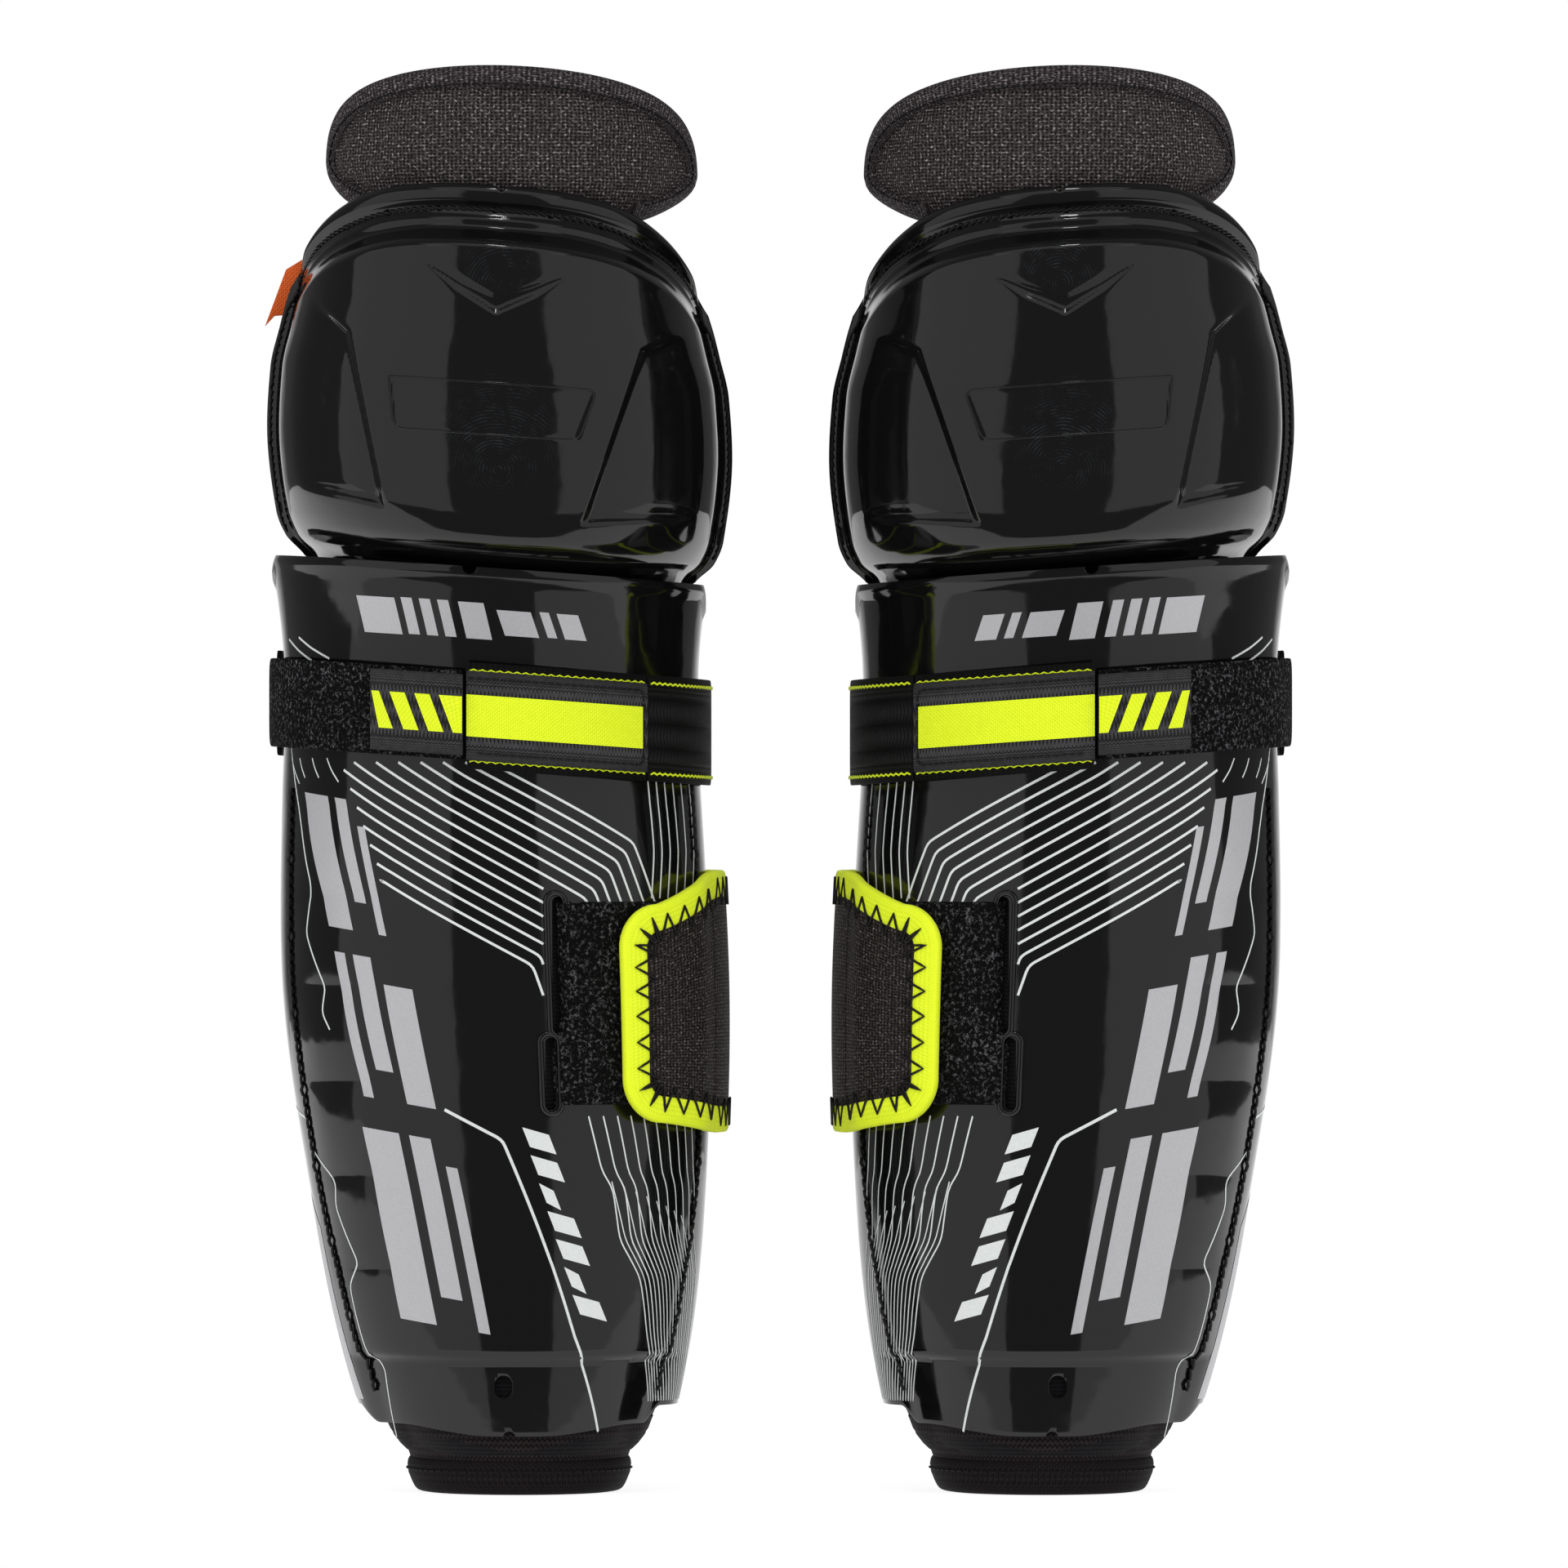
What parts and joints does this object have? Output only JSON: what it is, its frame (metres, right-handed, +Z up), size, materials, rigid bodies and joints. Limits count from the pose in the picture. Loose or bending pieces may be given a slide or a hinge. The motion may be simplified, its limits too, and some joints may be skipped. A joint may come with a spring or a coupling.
{
  "type": "hockey shin guards",
  "caption": "Pair of youth hockey shin guards with moulded shin shells, hinged knee caps, padded thigh flaps, elastic straps and calf wraps that peel open.",
  "frame": {"origin": "on the floor under the middle of the pair, at the centre of the bottom of the overall box", "axes": "+Z up along the shins, -Y towards the front of the knees, X across the pair with the guard named left at -X"},
  "size_m": [0.2434, 0.1154, 0.3364],
  "materials": {
    "shell": "glossy black moulded plastic",
    "lining": "brushed lining over foam",
    "foam": "soft covered foam",
    "hem": "woven fabric, stitched",
    "loop": "fuzzy loop pile",
    "elastic": "ribbed elastic",
    "mesh": "open mesh fabric",
    "tape": "neon woven tape",
    "hook": "moulded hook panel",
    "pouch": "padded mesh fabric",
    "pouch_tape": "woven binding tape",
    "badge": "stitched badge",
    "webbing": "woven webbing",
    "tag": "folded woven tag"
  },
  "bodies": {
    "shins": {"left_shin_shell": "shell", "left_shin_liner": "lining", "left_ankle_hem": "hem", "left_loop_patch": "loop", "left_loop_strap": "loop", "left_elastic_back": "elastic", "left_wrap_anchor": "mesh", "right_shin_shell": "shell", "right_shin_liner": "lining", "right_ankle_hem": "hem", "right_loop_patch": "loop", "right_loop_strap": "loop", "right_elastic_back": "elastic", "right_wrap_anchor": "mesh"},
    "left_knee": {"left_knee_cap": "shell", "left_knee_liner": "lining", "left_knee_cup_pad": "foam", "left_side_tag": "tag"},
    "left_thigh": {"left_thigh_pad": "pouch", "left_thigh_binding": "pouch_tape"},
    "left_wing": {"left_calf_wing": "mesh", "left_wing_binding": "tape"},
    "left_tab": {"left_calf_tab": "mesh", "left_tab_binding": "tape", "left_tab_hook": "hook"},
    "left_strap": {"left_elastic_front": "elastic", "left_strap_badge": "badge", "left_pull_tab": "webbing", "left_strap_hook": "hook"},
    "right_knee": {"right_knee_cap": "shell", "right_knee_liner": "lining", "right_knee_cup_pad": "foam"},
    "right_thigh": {"right_thigh_pad": "pouch", "right_thigh_binding": "pouch_tape"},
    "right_wing": {"right_calf_wing": "mesh", "right_wing_binding": "tape"},
    "right_tab": {"right_calf_tab": "mesh", "right_tab_binding": "tape", "right_tab_hook": "hook"},
    "right_strap": {"right_elastic_front": "elastic", "right_strap_badge": "badge", "right_pull_tab": "webbing", "right_strap_hook": "hook"}
  },
  "joints": [
    {"name": "left_knee_bend", "type": "hinge", "parent": "shins", "child": "left_knee", "pos_m": [-0.0665, -0.0057, 0.216], "axis": [-1, 0, 0], "range_deg": [0, 20]},
    {"name": "left_thigh_fold", "type": "hinge", "parent": "left_knee", "child": "left_thigh", "pos_m": [-0.0665, -0.0412, 0.2965], "axis": [-1, 0, 0], "range_deg": [0, 30]},
    {"name": "left_tab_peel", "type": "hinge", "parent": "left_wing", "child": "left_tab", "pos_m": [-0.01513, -0.01163, 0.1155], "axis": [0, 0, 1], "range_deg": [0, 40]},
    {"name": "left_wing_swing", "type": "hinge", "parent": "shins", "child": "left_wing", "pos_m": [-0.11728, 0.01457, 0.1155], "axis": [0, 0, 1], "range_deg": [0, 16]},
    {"name": "left_strap_peel", "type": "hinge", "parent": "shins", "child": "left_strap", "pos_m": [-0.03127, -0.02879, 0.18004], "axis": [0, 0, 1], "range_deg": [0, 90]},
    {"name": "right_knee_bend", "type": "hinge", "parent": "shins", "child": "right_knee", "pos_m": [0.0665, -0.0057, 0.216], "axis": [-1, 0, 0], "range_deg": [0, 20]},
    {"name": "right_thigh_fold", "type": "hinge", "parent": "right_knee", "child": "right_thigh", "pos_m": [0.0665, -0.0412, 0.2965], "axis": [-1, 0, 0], "range_deg": [0, 30]},
    {"name": "right_tab_peel", "type": "hinge", "parent": "right_wing", "child": "right_tab", "pos_m": [0.01513, -0.01163, 0.1155], "axis": [0, 0, -1], "range_deg": [0, 40]},
    {"name": "right_wing_swing", "type": "hinge", "parent": "shins", "child": "right_wing", "pos_m": [0.11728, 0.01457, 0.1155], "axis": [0, 0, -1], "range_deg": [0, 16]},
    {"name": "right_strap_peel", "type": "hinge", "parent": "shins", "child": "right_strap", "pos_m": [0.03127, -0.02879, 0.18004], "axis": [0, 0, -1], "range_deg": [0, 90]}
  ],
  "couplings": [
    {"joint": "left_wing_swing", "follows": "left_tab_peel", "ratio": 0.4},
    {"joint": "right_wing_swing", "follows": "right_tab_peel", "ratio": 0.4}
  ]
}
